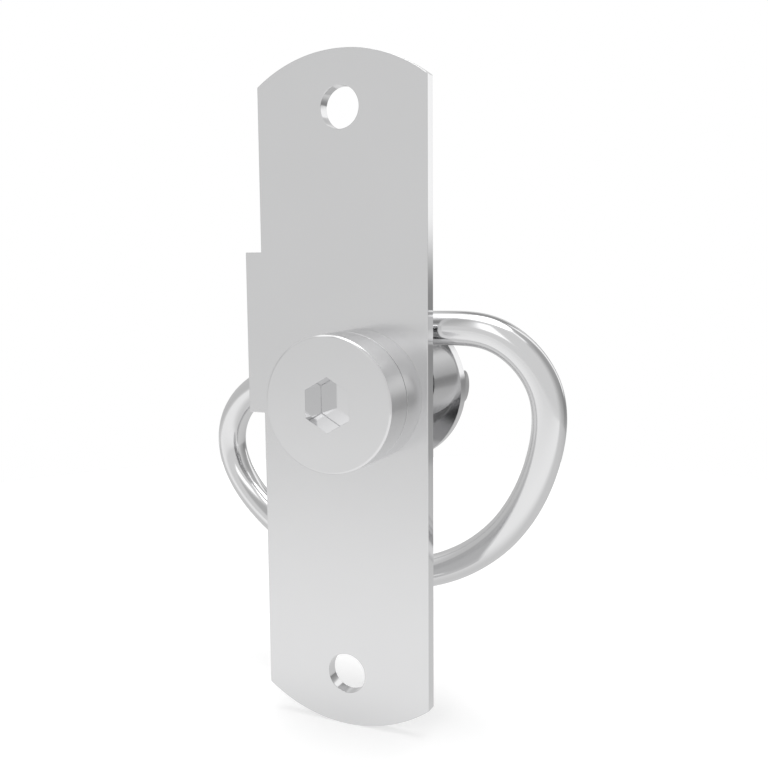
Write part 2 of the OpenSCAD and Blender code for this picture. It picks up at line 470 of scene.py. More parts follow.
@dataclass(frozen=True)
class SteelFinish:
    """A stainless steel surface with the fine marks of how it was worked.

    Attributes:
        name: Its own name, unlike any slot, since the frame's materials carry those.
        slot: The record's material slot.
        working: How the surface was worked.
        axis: A point on the spindle, for turned rings.
        color: Its reflectance.
        roughness: Its mean roughness.
        roughness_spread: How far the roughness varies.
        mark_scale: Fine marks on a metre.
        mark_depth: Their depth.
        mark_share: Share of the wear that follows the marks.
        tone_spread: How far soft clouds change the colour.
        tint: Strength of the heat colour beside a weld.
        bright_radius: Radius inside which a turned face is burnished.
        bright_edge: Width over which that ends.
        bright_share: Share of the roughness that burnishing leaves.
        stretch: How far the sheen is drawn out across the marks.
    """

    name: str
    slot: str
    working: Working
    axis: Point
    color: Color
    roughness: float
    roughness_spread: float
    mark_scale: float
    mark_depth: float
    mark_share: float = 0.6
    tone_spread: float = 0.015
    tint: float = 0.0
    bright_radius: float = 0.0
    bright_edge: float = 0.08 * MM
    bright_share: float = 0.3
    stretch: float = 0.0

    def place_of_marks(self, bench: NodeBench, place: Socket) -> Socket:
        """Stretches the place so that the marks run as the work did.

        Args:
            bench: The node tree.
            place: The point on the piece.

        Returns:
            The stretched place.
        """
        if self.working is Working.TURNED:
            offset = bench.node("VectorMath", {0: place, 1: self.axis}, operation="SUBTRACT")
            split = bench.node("SeparateXYZ", {0: offset.outputs[0]}).outputs
            flat = bench.node("CombineXYZ", {0: split[0], 2: split[2]}).outputs[0]
            length = bench.node("VectorMath", {0: flat}, operation="LENGTH")
            radius = length.outputs["Value"]
            return bench.node("CombineXYZ", {0: radius, 1: split[1]}).outputs[0]
        run = MARK_RUN[self.working]
        return bench.node("Mapping", {"Vector": place, "Scale": run}).outputs[0]

    def burnish(self, bench: NodeBench, marks_at: Socket) -> Socket:
        """Gives the share of the roughness that is left on the burnished face.

        Args:
            bench: The node tree.
            marks_at: The stretched place, whose first part is the radius.

        Returns:
            The share.
        """
        radius = bench.node("SeparateXYZ", {0: marks_at}).outputs[0]
        edge = (self.bright_radius, self.bright_radius + self.bright_edge)
        return bench.rescale(radius, edge, (self.bright_share, 1.0), smooth=True)

    def tone(self, bench: NodeBench, place: Socket) -> Socket:
        """Gives the colour, with soft clouds and the heat beside a weld.

        Args:
            bench: The node tree.
            place: The point on the piece.

        Returns:
            The colour.
        """
        clouds = bench.noise(place, CLOUD_SCALE, detail=4)
        darker, lighter = (shade(self.color, 1 + k * self.tone_spread) for k in (-1, 1))
        color = bench.mix_color(clouds, darker, lighter)
        if self.tint:
            warm = bench.noise(place, HEAT_SCALE, detail=2)
            heat = bench.rescale(warm, HEAT_RANGE, (0, self.tint), smooth=True)
            color = bench.mix_color(heat, color, HEAT_COLOR)
        return color

    def material(self) -> bpy.types.Material:
        """Builds the finish as a node material.

        Returns:
            The material, new at the first call and the same one after that.
        """
        made = bpy.data.materials.get(self.name)
        if made:
            return made
        made, bench = new_material(self.name)
        place = bench.place()
        marks_at = self.place_of_marks(bench, place)
        marks = bench.noise(marks_at, self.mark_scale, detail=4, rough=0.6)
        handling = bench.noise(place, HANDLING_SCALE, detail=2)
        from_marks = bench.math("MULTIPLY", marks, self.mark_share)
        from_handling = bench.math("MULTIPLY", handling, 1 - self.mark_share)
        wear = bench.math("ADD", from_marks, from_handling)
        low, high = self.roughness - self.roughness_spread, self.roughness + self.roughness_spread
        roughness = bench.rescale(wear, NOISE_RANGE, (low, high))
        if self.bright_radius:
            roughness = bench.math("MULTIPLY", roughness, self.burnish(bench, marks_at))
        bump = bench.node("Bump", {"Distance": self.mark_depth, "Height": marks}).outputs[0]
        color = self.tone(bench, place)
        shader = bench.node(
            "BsdfPrincipled",
            {"Base Color": color, "Metallic": 1.0, "Roughness": roughness, "Normal": bump},
        )
        if self.stretch:
            turned = self.working is Working.TURNED
            about = "Y" if turned else "Z"
            sheen_run = bench.node("Tangent", direction_type="RADIAL", axis=about)
            bench.tree.links.new(sheen_run.outputs[0], shader.inputs["Tangent"])
            shader.inputs["Anisotropic"].default_value = self.stretch
            shader.inputs["Anisotropic Rotation"].default_value = 0.25 if turned else 0.0
        bench.surface(shader)
        made.diffuse_color = shade(self.color)
        return made


@dataclass(frozen=True)
class PlainFinish:
    """A hidden bearing material, such as a grey lining or a glide polymer.

    Attributes:
        slot: The record's material slot.
        color: Its colour.
        metallic: 1 for a metal, 0 for a polymer.
        roughness: Its mean roughness.
        grain: Specks on a metre.
        tone_spread: How far the specks change the colour.
        roughness_spread: How far they change the roughness.
        speck_depth: Their depth.
    """

    slot: str
    color: Color
    metallic: float
    roughness: float
    grain: float
    tone_spread: float = 0.12
    roughness_spread: float = 0.06
    speck_depth: float = 4e-6

    def material(self) -> bpy.types.Material:
        """Builds the finish as a new node material.

        Returns:
            The material.
        """
        made, bench = new_material(self.slot + "_finish")
        specks = bench.noise(bench.place(), self.grain, detail=5)
        darker, lighter = (shade(self.color, 1 + k * self.tone_spread) for k in (-1, 1))
        low, high = self.roughness - self.roughness_spread, self.roughness + self.roughness_spread
        bump = bench.node("Bump", {"Distance": self.speck_depth, "Height": specks})
        shader = bench.node(
            "BsdfPrincipled",
            {
                "Base Color": bench.mix_color(specks, darker, lighter),
                "Metallic": self.metallic,
                "Roughness": bench.rescale(specks, NOISE_RANGE, (low, high)),
                "Normal": bump.outputs[0],
            },
        )
        bench.surface(shader)
        return made


Finish = SteelFinish | PlainFinish


def finish_piece(piece: Piece, body: str, finish: Finish, stands_for: str) -> None:
    """Dresses a finished piece, sets it on its body and lets it stand for its solid.

    Args:
        piece: The finished mesh, with its place in its mesh.
        body: The body that it rides on.
        finish: Its finish.
        stands_for: The frame's node that it replaces.
    """
    piece.data.materials.clear()
    piece.data.materials.append(finish.material())
    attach(piece, body)
    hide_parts(stands_for)
    LOG.info("%s: %d triangles on %s", piece.name, face_count(piece), body)


def refinish(piece: Piece, finish: SteelFinish, wanted: Test) -> None:
    """Gives some faces of a finished piece a second finish.

    Args:
        piece: The finished piece.
        finish: The second finish.
        wanted: Test of a face's middle and its normal.
    """
    piece.data.materials.append(finish.material())
    count = pick(piece, wanted)
    with editing(piece):
        piece.active_material_index = 1
        bpy.ops.object.material_slot_assign()
    LOG.info("%s: %d faces have the finish %s", piece.name, count, finish.name)


def dress_node(node: str, finish: Finish) -> None:
    """Gives a solid of the frame that stays in view its finish.

    Args:
        node: The frame's name of the solid.
        finish: Its finish.
    """
    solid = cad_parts[node]
    solid.data.materials.clear()
    solid.data.materials.append(finish.material())
    LOG.info("%s keeps its solid, finish %s", node, finish.slot)


@dataclass(frozen=True)
class Spindle:
    """The line that the handle turns about, and the shaft on it.

    Attributes:
        x: Where the line lies across the plate.
        z: Its height above the plate's middle.
        radius: Radius of the shaft.
        flats: Distance across its two flats.
    """

    x: float
    z: float
    radius: float = 7 * MM
    flats: float = 12 * MM

    def at(self, y: float) -> Point:
        """Returns the point of the line at one depth."""
        return (self.x, y, self.z)

    def drive_cutter(self, front: float, back: float) -> Piece:
        """Makes the tool that cuts the two-flat hole.

        Args:
            front: The tool's lowest Y.
            back: Its highest Y.

        Returns:
            A shaft with two flats.
        """
        tool = round_solid("drive_cutter", self.at(front), self.at(back), self.radius)
        for side in (-1, 1):
            cut_away(tool, (self.x, 0, self.z + side * self.flats / 2), (0, 0, side))
        return tool


@dataclass
class FixingPlate:
    """The flat sheet with arc ends, a stop tab and two fixing holes.

    Attributes:
        spindle: The line through its bearing hole.
        finish: Finish of its front.
        edge_finish: Finish of its back, edges and holes.
        end_radius: Radius of the arcs that end it.
        tab_width: How far the stop tab stands out.
        tab_height: Height of the tab.
        tab_low: Z of its lower end.
        hole_radius: Radius of a fixing hole.
        hole_height: Its height above the middle.
        edge_break: Width of the rounded edges.
    """

    spindle: Spindle
    finish: SteelFinish
    edge_finish: SteelFinish
    end_radius: float = 33.2 * MM
    tab_width: float = 4 * MM
    tab_height: float = 36 * MM
    tab_low: float = -3.9 * MM
    hole_radius: float = 4.5 * MM
    hole_height: float = 62.25 * MM
    edge_break: float = 0.14 * MM

    def blank(self) -> Piece:
        """Shapes the sheet's outline from a round blank.

        Returns:
            The sheet without holes.
        """
        low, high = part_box("plate")
        arc_z = high.z - self.end_radius
        sheet = round_solid(
            "latch_plate", (0, low.y, arc_z), (0, high.y, arc_z), self.end_radius, sides=ARC_SIDES
        )
        pick(sheet, lambda place, normal: place.z < arc_z - NEAR, MeshPart.VERTEX)
        with editing(sheet, MeshPart.VERTEX):
            bpy.ops.transform.translate(value=(0, 0, -2 * arc_z))
        for side in (-1, 1):
            cut_away(sheet, (side * high.x, 0, 0), (side, 0, 0))
        return sheet

    def add_tab(self, sheet: Piece) -> None:
        """Extrudes the stop tab from the sheet's left edge.

        Args:
            sheet: The sheet without its tab.
        """
        tab_high = self.tab_low + self.tab_height
        for height in (self.tab_low, tab_high):
            with editing(sheet):
                bpy.ops.mesh.select_all(action="SELECT")
                bpy.ops.mesh.bisect(plane_co=(0, 0, height), plane_no=(0, 0, 1))
        pick(sheet, lambda at, normal: normal.x < -FACING and self.tab_low < at.z < tab_high)
        with editing(sheet):
            extrude((-self.tab_width, 0, 0))

    def build(self) -> None:
        """Cuts the holes, breaks the edges and dresses the sheet."""
        low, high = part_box("plate")
        sheet = self.blank()
        self.add_tab(sheet)
        holes = [((0, z), self.hole_radius) for z in (-self.hole_height, self.hole_height)]
        holes.append(((self.spindle.x, self.spindle.z), BUSH_RADIUS))
        for (x, z), radius in holes:
            ends = (x, low.y - MM, z), (x, high.y + MM, z)
            combine(sheet, round_solid("drill", *ends, radius, sides=DRILL_SIDES))
        break_edges(sheet, self.edge_break)
        finish_piece(sheet, PLATE_BODY, self.finish, "plate")
        refinish(sheet, self.edge_finish, lambda middle, normal: normal.y > -FACING)


@dataclass
class Drum:
    """The fixed spacer disc and the key head that turns in front of it.

    Attributes:
        spindle: The line that both are turned about.
        finish: Finish of both.
        socket_finish: Finish inside the key socket.
        bush: Finish of the bearing bush.
        glide: Finish of the glide washer.
        bevel: Bevel on the head's front rim.
        seam_width: Width of the groove between the two.
        seam_depth: Its depth.
        washer_radius: Radius of the glide washer's recess.
        washer_recess: Its depth.
        shank_radius: Radius of the head's shank.
        shank_bevel: Bevel on the shank's end.
        key_flats: Width of the key socket across its flats.
        key_depth: Its depth.
        groove_width: Width of the groove round its floor.
        groove_depth: Depth of that groove.
        edge_break: Width of the rounded edges.
        edge_angle: Least turn of a rounded edge, in degrees.
    """

    spindle: Spindle
    finish: SteelFinish
    socket_finish: SteelFinish
    bush: PlainFinish
    glide: PlainFinish
    bevel: float = 0.4 * MM
    seam_width: float = 0.17 * MM
    seam_depth: float = 0.35 * MM
    washer_radius: float = 11.15 * MM
    washer_recess: float = 0.45 * MM
    shank_radius: float = 4 * MM
    shank_bevel: float = 1 * MM
    key_flats: float = 10 * MM
    key_depth: float = 7 * MM
    groove_width: float = 0.09 * MM
    groove_depth: float = 0.1 * MM
    edge_break: float = 0.08 * MM
    edge_angle: float = 25

    @property
    def key_radius(self) -> float:
        """Radius of the key socket's corners."""
        return self.key_flats / 2 / math.cos(math.radians(30))

    def build_spacer(self) -> None:
        """Turns the spacer disc and the fine groove at its front rim."""
        low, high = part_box("spacer_disc")
        radius = (high.x - low.x) / 2
        seam_floor = radius - self.seam_depth
        seam_back = low.y + self.seam_width
        profile = [
            (BUSH_RADIUS, low.y),
            (seam_floor, low.y),
            (seam_floor, seam_back),
            (radius, seam_back),
            (radius, high.y),
            (BUSH_RADIUS, high.y),
            (BUSH_RADIUS, low.y),
        ]
        spacer = turned_solid("latch_spacer", profile, self.spindle.at(0))
        break_edges(spacer, self.edge_break, self.edge_angle)
        finish_piece(spacer, PLATE_BODY, self.finish, "spacer_disc")

    def groove_floor(self, head: Piece, floor_y: float) -> None:
        """Cuts the relief groove that the broach runs out in.

        Args:
            head: The head, with its socket.
            floor_y: Y of the socket's floor.
        """
        pick(head, lambda at, normal: normal.y < -FACING and abs(at.y - floor_y) < NEAR)
        with editing(head):
            extrude((0, self.groove_depth, 0))
            bpy.ops.mesh.inset(thickness=self.groove_width)
            extrude((0, -self.groove_depth, 0))

    def build_head(self) -> None:
        """Turns the head and its shank, and cuts the key socket."""
        low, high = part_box("socket_head")
        radius = (high.x - low.x) / 2
        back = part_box("spindle")[0].y
        floor = back - self.washer_recess
        profile = [
            (0, low.y),
            (radius - self.bevel, low.y),
            (radius, low.y + self.bevel),
            (radius, back),
            (self.washer_radius, back),
            (self.washer_radius, floor),
            (self.spindle.radius, floor),
            (self.spindle.radius, back),
            (self.shank_radius, back),
            (self.shank_radius, high.y - self.shank_bevel),
            (self.shank_radius - self.shank_bevel, high.y),
            (0, high.y),
        ]
        head = turned_solid("latch_head", profile, self.spindle.at(0))
        key_floor = low.y + self.key_depth
        ends = self.spindle.at(low.y - MM), self.spindle.at(key_floor)
        combine(head, round_solid("key_cutter", *ends, self.key_radius, sides=6))
        self.groove_floor(head, key_floor)
        break_edges(head, self.edge_break, self.edge_angle)
        finish_piece(head, HANDLE_BODY, self.finish, "socket_head")
        self.polish_socket(head, low.y)

    def polish_socket(self, head: Piece, front: float) -> None:
        """Gives the inside of the key socket its broached finish.

        Args:
            head: The finished head.
            front: Y of its front face.
        """
        reach = self.key_radius + self.edge_break
        mouth = front + self.edge_break / 2
        bottom = front + self.key_depth + 2 * self.groove_depth

        def inside(middle: Vector, normal: Vector) -> bool:
            """Tells whether a face lies in the socket."""
            off_axis = math.hypot(middle.x - self.spindle.x, middle.z - self.spindle.z)
            return off_axis < reach and mouth < middle.y < bottom

        refinish(head, self.socket_finish, inside)

    def build(self) -> None:
        """Builds both discs and dresses the hidden bearing."""
        self.build_spacer()
        self.build_head()
        dress_node("bearing_bush", self.bush)
        dress_node("glide_washer", self.glide)


def leg_cutter(middle: Point, radius: float) -> Piece:
    """Makes the tool that cuts the seat of a straight leg of the rod.

    Args:
        middle: The tool's middle.
        radius: The seat's radius.

    Returns:
        A long cylinder along X.
    """
    x, y, z = middle
    ends = (x - LEG_REACH, y, z), (x + LEG_REACH, y, z)
    return round_solid("leg_cutter", *ends, radius, sides=ROD_SIDES)


@dataclass
class Carrier:
    """The spindle, the eccentric hub and the flange that carry the bow.

    Attributes:
        spindle: The line that they turn about.
        shaft_finish: Finish of the spindle.
        hub_finish: Finish of the hub.
        flange_finish: Finish of the flange.
        rod_radius: Radius of the bow's rod.
        boss_x: How far the boss lies to the right of the spindle.
        boss_z: How far above it.
        boss_radius: Its radius at the flange.
        boss_draft: How much smaller it is at its free end.
        collar_radius: Radius of the hub's collar.
        saddle_length: Length of the saddle under the front leg.
        leg_fit: Gap round the rod in its saddle.
        edge_break: Width of the rounded edges.
    """

    spindle: Spindle
    shaft_finish: SteelFinish
    hub_finish: SteelFinish
    flange_finish: SteelFinish
    rod_radius: float
    boss_x: float = 8 * MM
    boss_z: float = 2.6 * MM
    boss_radius: float = 8.7 * MM
    boss_draft: float = 1.1 * MM
    collar_radius: float = 10 * MM
    saddle_length: float = 10 * MM
    leg_fit: float = 0.05 * MM
    edge_break: float = 0.2 * MM

    def build_hub(self, front_leg_y: float) -> None:
        """Joins the collar, web, boss and saddle, and cuts the hub's holes.

        Args:
            front_leg_y: Depth of the rod's front leg.
        """
        low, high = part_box("hub")
        x, z = self.spindle.x + self.boss_x, self.spindle.z + self.boss_z
        ends = (x, low.y, z), (x, high.y, z)
        nose_radius = self.boss_radius - self.boss_draft
        hub = round_solid(
            "latch_hub", self.spindle.at(low.y), self.spindle.at(high.y), self.collar_radius
        )
        join(hub, round_solid("web", *ends, nose_radius))
        with editing(hub):
            bpy.ops.mesh.select_all(action="SELECT")
            bpy.ops.mesh.convex_hull()
        combine(hub, round_solid("boss", *ends, nose_radius, self.boss_radius), Joining.ADD)
        middle, reach = self.spindle.x + self.boss_x / 2, self.saddle_length / 2
        saddle = box_solid(
            "saddle", (middle - reach, low.y, self.spindle.z), (middle + reach, high.y, high.z)
        )
        combine(hub, saddle, Joining.ADD)
        combine(hub, self.spindle.drive_cutter(low.y - MM, high.y + MM))
        leg = (self.spindle.x, front_leg_y, self.spindle.z + LEG_RISE)
        combine(hub, leg_cutter(leg, self.rod_radius + self.leg_fit))
        break_edges(hub, self.edge_break)
        finish_piece(hub, HANDLE_BODY, self.hub_finish, "hub")

    def build_flange(self, back_leg_y: float) -> None:
        """Turns the flange and cuts its drive hole and rod seat.

        Args:
            back_leg_y: Depth of the rod's back leg.
        """
        low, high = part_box("flange")
        radius = (high.x - low.x) / 2
        profile = [(0, low.y), (radius, low.y), (radius, high.y), (0, high.y)]
        flange = turned_solid("latch_flange", profile, self.spindle.at(0))
        combine(flange, self.spindle.drive_cutter(low.y - MM, high.y + MM))
        combine(flange, leg_cutter(self.spindle.at(back_leg_y), self.rod_radius))
        break_edges(flange, self.edge_break)
        finish_piece(flange, HANDLE_BODY, self.flange_finish, "flange")

    def build(self, front_leg_y: float, back_leg_y: float) -> None:
        """Builds the hub and the flange and dresses the spindle.

        Args:
            front_leg_y: Depth of the rod's front leg.
            back_leg_y: Depth of its back leg.
        """
        self.build_hub(front_leg_y)
        self.build_flange(back_leg_y)
        dress_node("spindle", self.shaft_finish)


@dataclass(frozen=True)
class RippleBead:
    """A weld bead laid along X as a row of overlapping ripples.

    Attributes:
        name: Name of the bead.
        start: X where it starts.
        end: X where it ends.
        y: Depth of its middle line.
        z: Height of its middle line.
        radius: Its largest radius.
        pitch: Mean length of a ripple.
        sink: Depth of the dip between two ripples.
        length_spread: How far the ripples' lengths vary.
        crest_spread: How far their crests vary.
        length_wave: Pace and start of the slow sine of the lengths.
        crest_wave: The same for the crests.
        stations: Where along a ripple its outline has points.
    """

    name: str
    start: float
    end: float
    y: float
    z: float
    radius: float
    pitch: float = 1.4 * MM
    sink: float = 0.2 * MM
    length_spread: float = 0.16
    crest_spread: float = 0.025
    length_wave: Pair = (2.4, 0.5)
    crest_wave: Pair = (1.7, 1.0)
    stations: tuple[float, ...] = (0.1, 0.3, 0.55, 0.8, 0.95)

    def profile(self) -> list[Pair]:
        """Lays out the crests and dips, with slow sines for the welder's uneven hand.

        Returns:
            Points of radius and place along the bead.
        """
        length = self.end - self.start
        count = max(3, round(length / self.pitch))
        pace, start = self.length_wave
        widths = [1 + self.length_spread * math.sin(pace * k + start) for k in range(count)]
        pace, start = self.crest_wave
        outline = [(0.0, 0.0)]
        at = 0.0
        for k, width in enumerate(widths):
            step = width * length / sum(widths)
            crest = self.radius * (1 - self.crest_spread * (1 - math.sin(pace * k + start)))
            if k in (0, count - 1):
                crest -= self.sink
            for share in self.stations:
                drop = self.sink * (2 * share - 1) ** 4
                outline.append((crest - drop, at + share * step))
            at += step
        outline.append((0.0, length))
        return outline

    def build(self) -> Piece:
        """Spins the ripples and lays them along X.

        Returns:
            The whole round bead, still uncut.
        """
        bead = turned_solid(self.name, self.profile(), (0, 0, 0), sides=BEAD_SIDES)
        bead.rotation_euler = (0, 0, math.radians(-90))
        bead.location = (self.start, self.y, self.z)
        return settle(bead)


@dataclass
class Bow:
    """The bent round rod and the welds that hold it.

    Attributes:
        spindle: The line that it turns about.
        polished: Finish of the rod.
        weld: Finish of the weld beads.
        radius: Radius of the rod.
        leg_gap: Gap between the plate and the front leg.
        leg_seat: How far the back leg sinks into the flange.
        back_end: How far the back leg ends to the right of the spindle.
        front_end: How far the front leg ends to its left.
        size: Size of the bow, which the guides are hundredths of.
        guides: Guides of the bend: X, share of the legs' depth, Z.
        back_step: Share of the size between the back leg's guides.
        front_step: The same for the front leg.
        span_steps: Steps of the sweep between two guides.
        section_steps: Steps of the round section.
        end_bevel: Bevel on the rod's ends.
        bead_radius: Radius of a weld bead.
        front_leg_y: Depth of the front leg.
        back_leg_y: Depth of the back leg.
    """

    spindle: Spindle
    polished: SteelFinish
    weld: SteelFinish
    radius: float = 3.7 * MM
    leg_gap: float = 1.2 * MM
    leg_seat: float = 0.35 * MM
    back_end: float = 15.55 * MM
    front_end: float = 2.3 * MM
    size: float = 50 * MM
    guides: tuple[Point, ...] = (
        (-58, 1.25, 1),
        (-93, 1.7, -7),
        (-116, 2, -29),
        (-115, 2.05, -56),
        (-86, 1.8, -82),
        (-38, 1.4, -98),
        (13, 1, -94),
        (55, 0.65, -68),
        (76, 0.3, -30),
        (80, 0.2, 5),
        (58, 0.1, 28),
        (37, 0.05, 29),
    )
    back_step: float = 0.24
    front_step: float = 0.12
    span_steps: int = 20
    section_steps: int = 14
    end_bevel: float = 0.4 * MM
    bead_radius: float = 1.6 * MM
    front_leg_y: float = field(init=False)
    back_leg_y: float = field(init=False)

    def __post_init__(self) -> None:
        """Works out the depth of both legs from the plate and the flange."""
        self.front_leg_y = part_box("plate")[1].y + self.leg_gap + self.radius
        self.back_leg_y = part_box("flange")[1].y - self.leg_seat + self.radius

    def route(self) -> list[Vector]:
        """Lays out the guides of the rod's centre line.

        Returns:
            The guides, from the back leg's end.
        """
        back_step, front_step = self.back_step * self.size, self.front_step * self.size
        places = [(self.back_end + k * back_step, 1.0, 0.0) for k in (1, 0, -1)]
        places.append((-back_step, 1.0, 0.0))
        places += [(x * self.size / 100, share, z * self.size / 100) for x, share, z in self.guides]
        places += [(k * front_step - self.front_end, 0.0, LEG_RISE) for k in (2, 1, 0, -1)]
        depth = self.back_leg_y - self.front_leg_y
        return [
            Vector((self.spindle.x + x, self.front_leg_y + share * depth, self.spindle.z + z))
            for x, share, z in places
        ]

    def build_rod(self) -> None:
        """Sweeps the round section along a cubic B-spline and bevels both ends."""
        deselect_all()
        bpy.ops.curve.primitive_nurbs_path_add()
        rod = bpy.context.object
        rod.name = "latch_bow"
        spline = rod.data.splines[0]
        route = self.route()
        spline.points.add(len(route) - len(spline.points))
        for point, place in zip(spline.points, route):
            point.co = (*place, 1)
        spline.order_u = 4
        spline.use_endpoint_u = False
        spline.resolution_u = self.span_steps
        rod.data.bevel_depth = self.radius
        rod.data.bevel_resolution = self.section_steps
        rod.data.use_fill_caps = True
        make_active(rod)
        bpy.ops.object.convert(target="MESH")
        rod = bpy.context.object
        settle(rod)
        with editing(rod):
            clean_mesh()
        apply_modifier(
            rod,
            "BEVEL",
            width=self.end_bevel,
            segments=BEVEL_STEPS,
            limit_method="ANGLE",
            angle_limit=math.radians(60),
        )
        smooth(rod, angle=30)
        finish_piece(rod, HANDLE_BODY, self.polished, "bow")

    def build(self) -> None:
        """Builds the rod and dresses its welds."""
        self.build_rod()
        self.build_back_welds()
        self.build_front_weld()

    def fit_bead(self, bead: Piece, leg: Pair, floor: Point, out: Point) -> None:
        """Cuts a bead where it meets the rod and the face that it lies on.

        Args:
            bead: The round bead.
            leg: Y and Z of the rod's straight leg.
            floor: A point on the face under the bead.
            out: Direction into that face.
        """
        cut_away(bead, floor, out)
        combine(bead, leg_cutter((0, *leg), self.radius))
        smooth(bead, angle=40)

    def build_back_welds(self) -> None:
        """Lays one bead on each side of the back leg, along the flange."""
        low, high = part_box("back_leg_welds")
        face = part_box("flange")[1].y
        offset = self.radius - self.bead_radius / 4
        beads = []
        for side in (-1, 1):
            z = self.spindle.z + side * offset
            bead = RippleBead("latch_back_welds", low.x, high.x, face, z, self.bead_radius).build()
            self.fit_bead(bead, (self.back_leg_y, self.spindle.z), (0, face, 0), (0, -1, 0))
            beads.append(bead)
        join(*beads)
        finish_piece(beads[0], HANDLE_BODY, self.weld, "back_leg_welds")

    def build_front_weld(self) -> None:
        """Lays one bead behind the front leg, on the hub's saddle."""
        low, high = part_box("front_leg_weld")
        leg_z = self.spindle.z + LEG_RISE
        top = leg_z - self.radius / 3
        line_y = self.front_leg_y + self.radius
        bead = RippleBead("latch_front_weld", low.x, high.x, line_y, top, self.bead_radius).build()
        self.fit_bead(bead, (self.front_leg_y, leg_z), (0, 0, top), (0, 0, -1))
        finish_piece(bead, HANDLE_BODY, self.weld, "front_leg_weld")


@dataclass(frozen=True)
class Panel:
    """A lighter or darker part of the studio, by its direction from the object.

    Attributes:
        azimuth: Degrees from the photographer's side, -Y, towards +X.
        elevation: Degrees above the horizon.
        half_width: Half its width in degrees.
        half_height: Half its height in degrees.
        softness: Width of its soft edge in degrees.
        tone: Its brightness.
    """

    azimuth: float
    elevation: float
    half_width: float
    half_height: float
    softness: float
    tone: float


